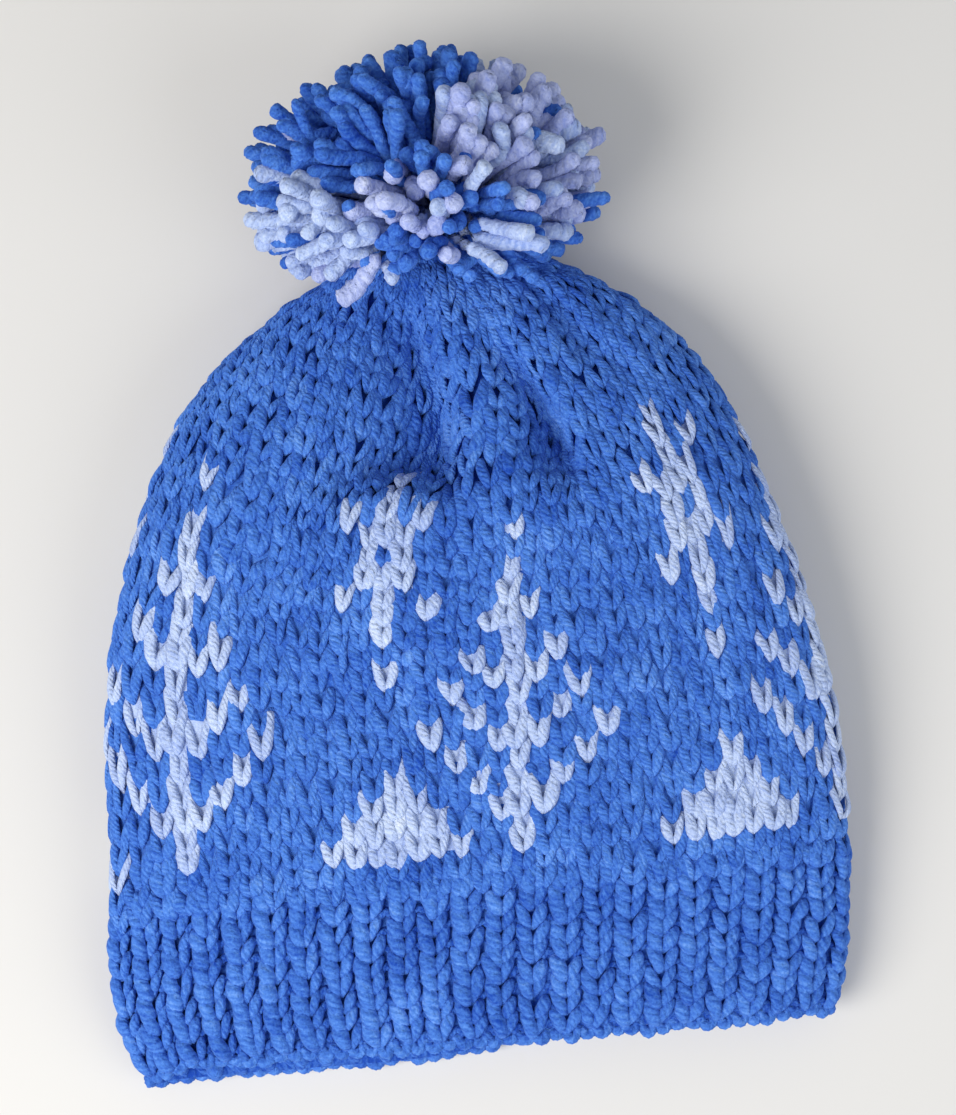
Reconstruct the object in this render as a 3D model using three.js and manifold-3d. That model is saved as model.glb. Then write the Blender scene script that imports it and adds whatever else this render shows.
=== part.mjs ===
// A hand-knitted bobble hat, lying on its back as it is laid on a table.
// Millimetres, +Z up, +Y from the mouth to the pompom, +X to the right of somebody who looks
// down on it with the pompom away from them. The origin is the centre of the base.
import * as THREE from 'three';
import { mergeVertices } from 'three/addons/utils/BufferGeometryUtils.js';
import Module from 'manifold-3d';

// ---- Driving dimensions ----------------------------------------------------------------
const GAP = 0.3;               // between neighbouring pieces
const POMPOM_CLEARANCE = 0.5;  // between the pompom and the pleated tip of the crown
const WALL = 4;                // knitted wall of body and crown
const GATHER_WALL = 6;         // the bunched knit at the tip of the crown
const RIB_WALL = 5;            // ribbed wall, crest to crest
const RIB_DEPTH = 1.4;         // how far a purl groove lies below the ribs, on both faces
const RIB_COUNT = 48;          // ribs round the brim
const POINTS_PER_RIB = 4;      // two on the crest and two in the groove
const RIB_LENGTH = 40;         // front edge of the brim to the start of the body
const CROWN_START = 138;       // where the plain crown takes over from the patterned body
const CROWN_TIP = 214;         // the gather
const PLEATS_START = 172;      // from here to the tip the sections lie closer together
const CROWN_TIP_LEVELS = [178, 184, 190, 196, 202, 207, 211, CROWN_TIP];
const TIE_RADIUS = 2;
const KNOT_RADIUS = 4;
const KNOT_INSIDE = 3;         // knot centre below the inner face of the gather
const TIE_INTO_POMPOM = 16;    // from the crown's tip into the core of the pompom
const POMPOM = { x: -1, y: 229, z: 33.5, halfWidth: 46, halfLength: 33, halfHeight: 34 };
const TUFT_RISE = 0.035;       // tufts of the pompom, as a share of its radius
const POMPOM_DETAIL = 6;

// How much of a section's height lies below its widest level.
const WIDEST_LEVEL = 0.45;
// Roundness of a section: 2 is an ellipse, higher is squarer.
const UPPER_POWER = 2.4;
const UNDER_POWER = 3;
// The underside is cut flat where the curve would go below its lowest level.
const FLAT_SHARE = 1.12;
const UPPER_STEPS = 44;
const UNDER_STEPS = 20;

// The outer form of the knit as it lies. y runs from the front edge of the brim, left and
// right are half widths, top and under are heights of the two layers at the middle.
const FORM = [
  { y: -6, left: 94, right: 89, top: 18, under: 0 },
  { y: 0, left: 96.5, right: 92, top: 19, under: 0 },
  { y: 8, left: 99, right: 94.5, top: 21, under: 0 },
  { y: 26, left: 100.5, right: 97.2, top: 24, under: 0 },
  { y: 56, left: 98, right: 98.8, top: 30, under: 0 },
  { y: 88, left: 96.8, right: 97, top: 34, under: 0 },
  { y: 113, left: 93.2, right: 92.2, top: 37, under: 0 },
  { y: 138, left: 86.3, right: 85.3, top: 38, under: 0 },
  { y: 158, left: 78, right: 78.5, top: 36.5, under: 0 },
  { y: 178, left: 67, right: 68.6, top: 33, under: 0 },
  { y: 190, left: 54.5, right: 58, top: 30, under: 1.2 },
  { y: 202, left: 37.5, right: 42, top: 26, under: 4 },
  { y: 210, left: 22, right: 25, top: 22.5, under: 7.5 },
  { y: 214, left: 10, right: 11, top: 19, under: 10 },
];

// Pleats of the upper layer that run down from the gather: from and to are their ends, and
// their half width grows from narrow to wide.
const PLEATS = [
  { fromX: -9, fromY: 200, toX: -15, toY: 152, narrow: 4, wide: 13, depth: 7.5 },
  { fromX: 11, fromY: 194, toX: 31, toY: 148, narrow: 2.5, wide: 5.5, depth: 7 },
  { fromX: 1, fromY: 166, toX: 0, toY: 141, narrow: 2.5, wide: 3.5, depth: 3.5 },
  { fromX: 24, fromY: 200, toX: 52, toY: 168, narrow: 2.5, wide: 4.5, depth: 2.5 },
  { fromX: -24, fromY: 200, toX: -44, toY: 166, narrow: 2.5, wide: 5, depth: 2 },
];

// Soft hollows of the upper layer.
const HOLLOWS = [
  { x: -31, y: 90, halfWidth: 24, halfLength: 14, depth: 2.2 },
  { x: 60, y: 102, halfWidth: 14, halfLength: 26, depth: 2 },
];

const BLUE = 0x4a78cf;
const DEEP_BLUE = 0x3f6cc2;
const MIXED_BLUE = 0x86a6df;
const YARN_ROUGHNESS = 0.95;

// ---- The form of the knit ---------------------------------------------------------------
const formColumns = new THREE.CubicInterpolant(
  FORM.map((row) => row.y),
  FORM.flatMap((row) => [row.left, row.right, row.top, row.under]),
  4,
);

function formAt(y) {
  const [left, right, top, under] = formColumns.evaluate(y);
  return { left, right, top, under: Math.max(0, under) };
}

function pleatDepth(pleat, x, y) {
  const runX = pleat.toX - pleat.fromX;
  const runY = pleat.toY - pleat.fromY;
  const length = Math.hypot(runX, runY);
  const along = ((x - pleat.fromX) * runX + (y - pleat.fromY) * runY) / length ** 2;
  const across = Math.abs((x - pleat.fromX) * runY - (y - pleat.fromY) * runX) / length;
  const width = THREE.MathUtils.lerp(pleat.narrow, pleat.wide, THREE.MathUtils.clamp(along, 0, 1));
  const opening = THREE.MathUtils.smoothstep(along, -0.1, 0.55);
  const closing = 1 - THREE.MathUtils.smoothstep(along, 0.85, 1.15);
  return pleat.depth * opening * closing * Math.exp(-((across / width) ** 2));
}

function hollowDepth(hollow, x, y) {
  const across = (x - hollow.x) / hollow.halfWidth;
  const along = (y - hollow.y) / hollow.halfLength;
  return hollow.depth * Math.exp(-(across ** 2) - along ** 2);
}

// How far the upper layer is pressed in at a place.
function dentAt(x, y) {
  const pleats = PLEATS.reduce((sum, pleat) => sum + pleatDepth(pleat, x, y), 0);
  return HOLLOWS.reduce((sum, hollow) => sum + hollowDepth(hollow, x, y), pleats);
}

// One point of the section at y, at an angle that runs from the right side over the upper
// layer, and inset from the outer face.
function sectionPoint(y, angle, inset) {
  const form = formAt(y);
  const side = Math.cos(angle);
  const rise = Math.sin(angle);
  const power = 2 / (rise < 0 ? UNDER_POWER : UPPER_POWER);
  const half = (side < 0 ? form.left : form.right) - inset;
  const x = Math.sign(side) * half * Math.abs(side) ** power;
  const widest = form.under + WIDEST_LEVEL * (form.top - form.under);
  const lift = Math.abs(rise) ** power;
  const upper = widest + (form.top - inset - widest) * lift - dentAt(x, y) * lift;
  const under = widest - (widest - form.under - inset) * Math.min(1, FLAT_SHARE * lift);
  return new THREE.Vector3(x, y, rise < 0 ? under : upper);
}

function sectionAngles() {
  const upper = Array.from({ length: UPPER_STEPS }, (_, i) => (Math.PI * i) / UPPER_STEPS);
  const under = Array.from({ length: UNDER_STEPS }, (_, i) => Math.PI * (1 + i / UNDER_STEPS));
  return [...upper, ...under];
}

function ring(y, inset) {
  return sectionAngles().map((angle) => sectionPoint(y, angle, inset));
}

// ---- Solids -----------------------------------------------------------------------------
// A closed wall: every ring is joined to the next, and the last to the first.
function wallSolid(rings) {
  const size = rings[0].length;
  const positions = rings.flat().flatMap((point) => point.toArray());
  const triangles = [];
  rings.forEach((_, row) => {
    const next = (row + 1) % rings.length;
    for (let i = 0; i < size; i += 1) {
      const j = (i + 1) % size;
      const [a, b] = [row * size + i, row * size + j];
      const [c, d] = [next * size + j, next * size + i];
      triangles.push(a, c, b, a, d, c);
    }
  });
  const geometry = new THREE.BufferGeometry();
  geometry.setAttribute('position', new THREE.Float32BufferAttribute(positions, 3));
  geometry.setIndex(triangles);
  return geometry;
}

function stepsBetween(from, to, count) {
  return Array.from({ length: count + 1 }, (_, i) => THREE.MathUtils.lerp(from, to, i / count));
}

function bodyGeometry() {
  const levels = stepsBetween(RIB_LENGTH + GAP, CROWN_START - GAP / 2, 6);
  const outer = levels.map((y) => ring(y, 0));
  const inner = levels.toReversed().map((y) => ring(y, WALL));
  return wallSolid([...outer, ...inner]);
}

// The ring of the small hole that the tie passes through.
function holeRing(y, radius) {
  const { top, under } = formAt(CROWN_TIP);
  const middle = (top + under) / 2;
  return sectionAngles().map(
    (angle) => new THREE.Vector3(radius * Math.cos(angle), y, middle + radius * Math.sin(angle)),
  );
}

function crownGeometry() {
  const low = stepsBetween(CROWN_START + GAP / 2, PLEATS_START, 6);
  const outer = [...low, ...CROWN_TIP_LEVELS].map((y) => ring(y, 0));
  const inner = [...low, ...CROWN_TIP_LEVELS.slice(0, -3)].toReversed().map((y) => ring(y, WALL));
  const hole = TIE_RADIUS + GAP;
  const innerTip = CROWN_TIP - GATHER_WALL;
  return wallSolid([...outer, holeRing(CROWN_TIP + 1, hole), holeRing(innerTip, hole), ...inner]);
}

// ---- Ribbed brim --------------------------------------------------------------------------
// The edge of the mouth: straight in front, and lower at the left of the underside.
function edgeY(point) {
  const under = point.z < formAt(0).top * WIDEST_LEVEL;
  const toLeft = THREE.MathUtils.smoothstep(-point.x, -40, 30);
  const corner = THREE.MathUtils.smoothstep(-point.x, 78, 97);
  return under ? -5 * toLeft : -4.6 * corner;
}

// A section's points at even steps along its length, a few to each rib.
function evenRing(y, inset, count) {
  const corners = ring(y, inset);
  const path = new THREE.CurvePath();
  corners.forEach((corner, i) => {
    path.add(new THREE.LineCurve3(corner, corners[(i + 1) % corners.length]));
  });
  return path.getSpacedPoints(count).slice(0, count);
}

function ribRing(share, inset, grooveInset) {
  const count = RIB_COUNT * POINTS_PER_RIB;
  const level = share * RIB_LENGTH;
  const crests = evenRing(level, inset, count);
  const grooves = evenRing(level, grooveInset, count);
  return crests.map((crest, i) => {
    const point = (i % POINTS_PER_RIB < POINTS_PER_RIB / 2 ? crest : grooves[i]).clone();
    point.y = THREE.MathUtils.lerp(edgeY(point), RIB_LENGTH, share);
    return point;
  });
}

function brimGeometry() {
  const outer = [0.04, 0.5, 1].map((share) => ribRing(share, 0, RIB_DEPTH));
  const inner = [1, 0.04].map((share) => ribRing(share, RIB_WALL, RIB_WALL - RIB_DEPTH));
  const roundedEdge = ribRing(0, RIB_WALL / 2, RIB_WALL / 2);
  return wallSolid([roundedEdge, ...outer, ...inner]);
}

// ---- Pompom and its tie ---------------------------------------------------------------------
const wasm = await Module();
wasm.setup();

function toManifold(geometry) {
  const bare = geometry.clone();
  bare.deleteAttribute('normal');
  bare.deleteAttribute('uv');
  const merged = mergeVertices(bare, 1e-4);
  return new wasm.Manifold(new wasm.Mesh({
    numProp: 3,
    vertProperties: new Float32Array(merged.attributes.position.array),
    triVerts: new Uint32Array(merged.index.array),
  }));
}

function toGeometry(solid) {
  const mesh = solid.getMesh();
  const geometry = new THREE.BufferGeometry();
  geometry.setAttribute('position', new THREE.Float32BufferAttribute(mesh.vertProperties, 3));
  geometry.setIndex(new THREE.Uint32BufferAttribute(mesh.triVerts, 1));
  return geometry;
}

// The height of the crown's small hole above the surface.
function tieHeight() {
  const { top, under } = formAt(CROWN_TIP);
  return (top + under) / 2;
}

// The whole tip of the crown without its hollow, grown and moved forward a little, to be cut
// from the pompom.
function crownTipSolid() {
  const rings = CROWN_TIP_LEVELS.map((y) => ring(y, -POMPOM_CLEARANCE));
  const cap = holeRing(CROWN_TIP + 1, TIE_RADIUS);
  const base = holeRing(CROWN_TIP_LEVELS[0], TIE_RADIUS);
  const tip = wallSolid([base, ...rings, cap]).translate(0, POMPOM_CLEARANCE, 0);
  return toManifold(tip);
}

function pompomForm() {
  const ball = mergeVertices(new THREE.IcosahedronGeometry(1, POMPOM_DETAIL).deleteAttribute('uv'), 1e-4);
  const places = ball.attributes.position;
  const point = new THREE.Vector3();
  for (let i = 0; i < places.count; i += 1) {
    point.fromBufferAttribute(places, i).normalize();
    const tufts = Math.sin(9 * point.x + 2) * Math.sin(8 * point.y + 1) * Math.sin(9 * point.z);
    point.multiplyScalar(1 + TUFT_RISE * tufts);
    point.multiply(new THREE.Vector3(POMPOM.halfWidth, POMPOM.halfLength, POMPOM.halfHeight));
    point.add(new THREE.Vector3(POMPOM.x, POMPOM.y, POMPOM.z));
    places.setXYZ(i, point.x, point.y, Math.max(0, point.z));
  }
  return ball;
}

function tieRod(radius, from, to) {
  const rod = new THREE.CylinderGeometry(radius, radius, to - from, 16);
  return rod.translate(0, (from + to) / 2, tieHeight());
}

function pompomGeometry() {
  const bore = toManifold(tieRod(TIE_RADIUS + GAP, CROWN_TIP - 10, CROWN_TIP + TIE_INTO_POMPOM + GAP));
  const cut = toManifold(pompomForm()).subtract(crownTipSolid()).subtract(bore);
  const bodies = cut.decompose().sort((a, b) => b.volume() - a.volume());
  return toGeometry(bodies[0]);
}

function tieGeometry() {
  const innerFace = CROWN_TIP - GATHER_WALL;
  const knot = new THREE.SphereGeometry(KNOT_RADIUS, 16, 10);
  knot.translate(0, innerFace - KNOT_INSIDE - 0.5 * KNOT_RADIUS, tieHeight());
  const rod = tieRod(TIE_RADIUS, innerFace - KNOT_INSIDE - KNOT_RADIUS, CROWN_TIP + TIE_INTO_POMPOM);
  return toGeometry(toManifold(knot).add(toManifold(rod)));
}

// ---- The hat ----------------------------------------------------------------------------------
function piece(name, geometry, color) {
  const material = new THREE.MeshStandardMaterial({ color, roughness: YARN_ROUGHNESS, metalness: 0 });
  const mesh = new THREE.Mesh(geometry, material);
  mesh.name = name;
  return mesh;
}

const hat = new THREE.Group();
hat.name = 'bobble_hat';
hat.add(piece('rib_brim', brimGeometry(), BLUE));
hat.add(piece('knit_body', bodyGeometry(), BLUE));
hat.add(piece('gathered_crown', crownGeometry(), DEEP_BLUE));
hat.add(piece('pompom', pompomGeometry(), MIXED_BLUE));
hat.add(piece('pompom_tie', tieGeometry(), MIXED_BLUE));

const extent = new THREE.Box3().setFromObject(hat);
const centre = extent.getCenter(new THREE.Vector3());
hat.position.set(-centre.x, -centre.y, -extent.min.z);

export default hat;
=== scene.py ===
"""A hand-knitted bobble hat lying on a pale table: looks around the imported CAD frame.

Lengths are in millimetres in the hat's own frame, x from its middle line and y from the front
edge of its brim, until to_row() turns them into metres in the row frame.
"""
import math

import bpy
import numpy as np
from mathutils import Matrix, Vector


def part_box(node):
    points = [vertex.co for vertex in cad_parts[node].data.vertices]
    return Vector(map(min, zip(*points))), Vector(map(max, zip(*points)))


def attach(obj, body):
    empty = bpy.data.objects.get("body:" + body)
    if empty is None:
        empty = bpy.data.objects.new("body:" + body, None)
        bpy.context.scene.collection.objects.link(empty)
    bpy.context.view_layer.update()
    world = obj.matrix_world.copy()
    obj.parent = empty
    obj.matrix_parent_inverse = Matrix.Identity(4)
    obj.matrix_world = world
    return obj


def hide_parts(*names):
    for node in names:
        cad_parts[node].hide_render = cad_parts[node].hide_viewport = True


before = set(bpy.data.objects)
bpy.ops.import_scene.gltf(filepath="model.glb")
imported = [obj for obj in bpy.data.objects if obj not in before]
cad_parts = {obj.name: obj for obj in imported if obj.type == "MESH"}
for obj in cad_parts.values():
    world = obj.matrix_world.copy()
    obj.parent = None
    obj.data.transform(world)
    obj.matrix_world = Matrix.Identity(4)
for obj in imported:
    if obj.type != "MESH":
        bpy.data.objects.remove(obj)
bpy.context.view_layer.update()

MM = 0.001
rng = np.random.default_rng(20)


def draw(spread, shape):
    return rng.normal(0, spread, shape)


# ---- Where the hat's own frame lies in the row frame ----
TIE_END = 230.0  # the far end of the tie, in the hat's y
tie_low, tie_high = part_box("pompom_tie")
HAT_ORIGIN = np.array([(tie_low.x + tie_high.x) / 2, tie_high.y - TIE_END * MM, 0.0])


def to_row(points):
    return points * MM + HAT_ORIGIN


def lerp(low, high, share):
    return low + (high - low) * share


def ease(value, low, high):
    t = np.clip((value - low) / (high - low), 0, 1)
    return t * t * (3 - 2 * t)


def unit(vectors):
    return vectors / (np.linalg.norm(vectors, axis=-1, keepdims=True) + 1e-9)


def lengths_along(steps):
    """How far along its curve each point lies, from the lengths of the steps between them."""
    return np.hstack([np.zeros_like(steps[..., :1]), np.cumsum(steps, axis=-1)])


# ---- The form of the knit, as in the CAD ----
RIB_LENGTH = 40.0
CROWN_TIP = 214.0
WIDEST_LEVEL = 0.45  # share of its height at which a section is widest
UPPER_POWER = 2.4  # superellipse powers of the upper and the lower layer
UNDER_POWER = 3.0
FLAT_SHARE = 1.12  # above 1, the middle of the lower layer lies flat

# Sections: y, half width to the left and to the right, height of the upper and the lower layer.
LEFT, RIGHT, TOP, UNDER = 1, 2, 3, 4
FORM = np.array([
    (-6, 94, 89, 18, 0), (0, 96.5, 92, 19, 0), (8, 99, 94.5, 21, 0), (26, 100.5, 97.2, 24, 0),
    (56, 98, 98.8, 30, 0), (88, 96.8, 97, 34, 0), (113, 93.2, 92.2, 37, 0),
    (138, 86.3, 85.3, 38, 0), (158, 78, 78.5, 36.5, 0), (178, 67, 68.6, 33, 0),
    (190, 54.5, 58, 30, 1.2), (202, 37.5, 42, 26, 4), (210, 22, 25, 22.5, 7.5),
    (214, 10, 11, 19, 10),
], float)

# Folds of the upper layer, which falls gently from their left and rises steeply on their right:
# line down from the gather, widths and depths at its ends, and where along it they open and close.
FOLDS = [
    dict(line=[(-4, 206), (-7, 192), (-4.5, 180), (-1.5, 170), (-3, 160), (-7, 150)], left=(9, 19),
         right=(3.2, 7.5), depth=(8.0, 18.0), opens=(-0.1, 0.4), closes=(0.9, 1.12)),
    dict(line=[(10, 198), (13.5, 190), (18.5, 180), (26, 168), (30, 158), (32, 148)], left=(6, 10),
         right=(2.2, 2.8), depth=(4.0, 14.0), opens=(-0.1, 0.7), closes=(0.82, 1.15)),
    dict(line=[(1, 172), (1.5, 160), (1, 150), (0, 138)], left=(4.0, 5.5), right=(1.6, 1.9),
         depth=(4.0, 7.0), opens=(0.0, 0.4), closes=(0.7, 1.0)),
    dict(line=[(22, 204), (34, 190), (50, 168)], left=(5, 6), right=(2.5, 3.5),
         depth=(4.0, 2.5), opens=(-0.1, 0.2), closes=(0.7, 1.2)),
    dict(line=[(-20, 204), (-30, 190), (-46, 166)], left=(4, 6), right=(3, 4),
         depth=(3.0, 1.5), opens=(-0.1, 0.2), closes=(0.7, 1.2)),
]
# At a few levels: how many wales lie hidden in each of the first three folds, how much closer they
# lie towards the sides, and how many pass round to the underside at each side, if below 0.
HIDDEN_LEVELS = [138, 150, 160, 178, 190, 200, 214]
HIDDEN_WALES = [[0, 0.4, 1.1, 1.9, 2.0, 2.1, 2.7], [0, 1.4, 2.8, 3.6, 3.7, 3.9, 4.6],
                [0, 0.8, 0.3, 0, 0, 0, 0]]
CROWDING = [0, 0.05, 0.1, 0.1, 0, 0, 0]
DRAWN_ROUND = [0, 0, 0, -0.3, -2.2, -3.8, -4.4]
HIDDEN_SPREAD = 1.6  # how far from a fold's line its hidden wales reach
CROWD_MIDDLE = 5  # crowding starts CROWD_FROM away from this x and is full at CROWD_TO
CROWD_FROM, CROWD_TO = 5, 45

# Shallow hollows of the upper layer: x, y, half width, half length, depth
HOLLOWS = [(-31, 90, 24, 14, 2.4), (60, 102, 14, 26, 2.2), (-48, 120, 12, 20, 1.2),
           (22, 118, 16, 12, 1.3), (-8, 62, 20, 10, 0.9), (48, 66, 16, 12, 0.9)]


def hermite(y, column):
    """The form's column at y, on a smooth curve through its rows."""
    knots, values = FORM[:, 0], FORM[:, column]
    slopes = np.gradient(values, knots)
    i = np.clip(np.searchsorted(knots, y) - 1, 0, len(knots) - 2)
    step = knots[i + 1] - knots[i]
    t = np.clip((y - knots[i]) / step, 0, 1)
    return ((2 * t**3 - 3 * t**2 + 1) * values[i] + (t**3 - 2 * t**2 + t) * step * slopes[i]
            + (-2 * t**3 + 3 * t**2) * values[i + 1] + (t**3 - t**2) * step * slopes[i + 1])


def fold_line(fold, y):
    """x of a fold's line at y, and how far along the fold that is."""
    xs, ys = zip(*fold["line"][::-1])
    along = (ys[-1] - y) / (ys[-1] - ys[0])
    slope = (xs[0] - xs[1]) / (ys[0] - ys[1])
    return np.interp(y, ys, xs) + np.minimum(y - ys[0], 0) * slope, along


def dent_at(x, y):
    """How far the upper layer is pressed in at a place."""
    total = np.zeros(np.broadcast(x, y).shape)
    for fold in FOLDS:
        line_x, along = fold_line(fold, y)
        across = x - line_x
        share = np.clip(along, 0, 1)
        left, right = (lerp(*fold[k], share) for k in ("left", "right"))
        width = np.where(across < 0, left, right)
        opening = ease(along, *fold["opens"]) * (1 - ease(along, *fold["closes"]))
        total += lerp(*fold["depth"], share) * opening * np.exp(-((across / width) ** 2))
    for at_x, at_y, half_width, half_length, depth in HOLLOWS:
        across, along = (x - at_x) / half_width, (y - at_y) / half_length
        total += depth * np.exp(-(across**2) - along**2)
    return total


def wale_weight(x, y, run, front_wales):
    """How the wales of the upper layer share out its steps (x, run) at levels y."""
    aside = ease(np.abs(x - CROWD_MIDDLE), CROWD_FROM, CROWD_TO)
    weight = run * (1 + np.interp(y, HIDDEN_LEVELS, CROWDING) * aside)
    hidden = [np.interp(y, HIDDEN_LEVELS, wales) for wales in HIDDEN_WALES]
    one_wale = weight.sum(axis=1, keepdims=True) / (front_wales - sum(hidden))
    for fold, wales in zip(FOLDS, hidden):
        line_x, _ = fold_line(fold, y)
        bell = np.exp(-(((x - line_x) / HIDDEN_SPREAD) ** 2))
        weight = weight + wales * one_wale * bell / bell.sum(axis=1, keepdims=True)
    return weight


SECTION_STEPS = 420


def half_section(y, upper, dented=True):
    """x and z of one layer at levels y (n, 1), from the left side to the right one."""
    angle = np.linspace(math.pi, 0, SECTION_STEPS)
    side, rise = np.cos(angle), np.abs(np.sin(angle))
    power = 2 / (UPPER_POWER if upper else UNDER_POWER)
    left, right, top, under = (hermite(y, k) for k in (LEFT, RIGHT, TOP, UNDER))
    under = np.maximum(under, 0)
    half = np.where(side < 0, left, right)
    x = np.sign(side) * half * np.abs(side) ** power
    widest = under + WIDEST_LEVEL * (top - under)
    lift = rise**power
    if upper:
        dent = dent_at(x, y + 0 * x) if dented else 0
        return x, widest + (top - widest) * lift - dent * lift
    return x, widest - (widest - under) * np.minimum(1, FLAT_SHARE * lift)


def even_steps(x, z, count):
    """Points at even steps along each row's curve: count + 1 of them."""
    length = lengths_along(np.hypot(np.diff(x, axis=1), np.diff(z, axis=1)))
    wanted = np.linspace(0, 1, count + 1)
    out = np.empty((len(x), count + 1, 2))
    for k, share in enumerate(length / length[:, -1:]):
        out[k] = np.stack([np.interp(wanted, share, part[k]) for part in (x, z)], -1)
    return out


# ---- Wales and rows ----
LEFT_SIDE = -21.0  # the wale on the left side line; wale 0 carries the middle tree's trunk
RIGHT_SIDE = 16.2  # the wale on the right side line
WALES = 80
FINE = 4  # grid steps to a wale
ROW_STEP = 0.25
SMOOTHING = 2  # passes over the normals
FIRST_ROW = -3.0
GATHER_ROW = 31.8
ROW_ZERO = 47.9  # y of the lowest patterned stitches' tips
ROW_PITCH = 5.2  # at the brim end of the middle wales
STRETCH_ROWS = 4.0  # over so many rows the side wales take up their longer pitch
STRETCH_LOW = 0.53  # how much more of that stretch lies in the lower rows
LEVEL_STEP = 1.0

levels = np.arange(FORM[0, 0], CROWN_TIP + 0.01, LEVEL_STEP)[:, None]


def dent_share(upper, y):
    """How much of a dent each place on the upper layer takes: all on top, none at the sides."""
    left, right = hermite(y, LEFT), hermite(y, RIGHT)
    half = np.where(upper[..., 0] < 0, left, right)
    side = np.clip(np.abs(upper[..., 0]) / half, 0, 1) ** (UPPER_POWER / 2)
    return np.sqrt(np.maximum(0, 1 - side**2)) ** (2 / UPPER_POWER)


def wale_grid():
    """Places of the outer surface at every level and fine wale step, once round the tube."""
    x_up, z_up = half_section(levels, True, dented=False)
    x_low, z_low = (np.flip(part, 1) for part in half_section(levels, False))
    drawn = np.interp(levels, HIDDEN_LEVELS, DRAWN_ROUND)
    left, right = LEFT_SIDE - drawn, RIGHT_SIDE + drawn
    run_up, run_low = (np.hypot(np.diff(x, axis=1), np.diff(z, axis=1))
                       for x, z in ((x_up, z_up), (x_low, z_low)))
    weight = wale_weight((x_up[:, 1:] + x_up[:, :-1]) / 2, levels, run_up, right - left)
    wanted = LEFT_SIDE + np.arange(WALES * FINE) / FINE
    up, low = lengths_along(weight), lengths_along(run_low)
    wale = np.hstack([lerp(left, right, up / up[:, -1:])[:, :-1],
                      lerp(right, left + WALES, low / low[:, -1:])[:, :-1]])
    x, z = (np.hstack([above[:, :-1], below[:, :-1]])
            for above, below in ((x_up, x_low), (z_up, z_low)))
    grid = np.empty((len(levels), len(wanted), 3))
    grid[..., 1] = levels
    for k in range(len(levels)):
        grid[k, :, 0] = np.interp(wanted, wale[k], x[k], period=WALES)
        grid[k, :, 2] = np.interp(wanted, wale[k], z[k], period=WALES)
    top, under = hermite(levels, TOP), hermite(levels, UNDER)
    widest = np.maximum(under, 0) * (1 - WIDEST_LEVEL) + top * WIDEST_LEVEL
    upper = grid[..., 2] > widest
    dent = dent_at(grid[..., 0], grid[..., 1]) * dent_share(grid[..., ::2], levels)
    grid[..., 2] -= np.where(upper, dent, 0)
    return grid


def normals_of(grid):
    """Outward unit normals of a grid whose second axis runs once round."""
    down = np.gradient(grid, axis=0)
    around = np.roll(grid, -1, axis=1) - np.roll(grid, 1, axis=1)
    return unit(np.cross(around, down))


def row_table(grid):
    """The level of each row on each fine wale: the side wales are longer, so their rows are too."""
    rows = np.arange(FIRST_ROW, GATHER_ROW + 1e-6, ROW_STEP)
    ys = levels[:, 0]
    table = np.empty((len(rows), grid.shape[1]))
    for k in range(grid.shape[1]):
        path = lengths_along(np.linalg.norm(np.diff(grid[:, k], axis=0), axis=1))
        start = np.interp(ROW_ZERO, ys, path)
        extra = (path[-1] - start) / GATHER_ROW - ROW_PITCH
        extra /= 1 - math.exp(-GATHER_ROW / STRETCH_ROWS)
        upward = np.maximum(rows, 0)
        lower = 1 + STRETCH_LOW * (1 - upward / GATHER_ROW)
        run = ROW_PITCH * rows + extra * upward * (1 - np.exp(-upward / STRETCH_ROWS)) * lower
        table[:, k] = np.interp(start + run, path, ys)
    return rows, table


class Surface:
    """The outer face of the knit: a grid whose rows begin at first and whose columns at start."""

    def __init__(self, first, step, places, normals, per_unit, start):
        self.first, self.step = first, step
        self.places, self.normals = places, normals
        self.per_unit, self.start = per_unit, start

    def at(self, around, along):
        """The place and the normal at a wale or rib and a row or level."""
        i = np.clip((along - self.first) / self.step, 0, len(self.places) - 1.001)
        j = (around - self.start) * self.per_unit
        i0, j0 = np.floor(i).astype(int), np.floor(j).astype(int)
        fi, fj = (i - i0)[..., None], (j - j0)[..., None]
        count = self.places.shape[1]
        ja, jb = j0 % count, (j0 + 1) % count

        def mix(table):
            low = table[i0, ja] * (1 - fj) + table[i0, jb] * fj
            high = table[i0 + 1, ja] * (1 - fj) + table[i0 + 1, jb] * fj
            return low * (1 - fi) + high * fi

        return mix(self.places), unit(mix(self.normals))


def smooth_round(table):
    """The table evened out a little, along and round."""
    for _ in range(SMOOTHING):
        table = (np.roll(table, 1, 1) + 2 * table + np.roll(table, -1, 1)) / 4
        table[1:-1] = (table[:-2] + 2 * table[1:-1] + table[2:]) / 4
    return table


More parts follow.
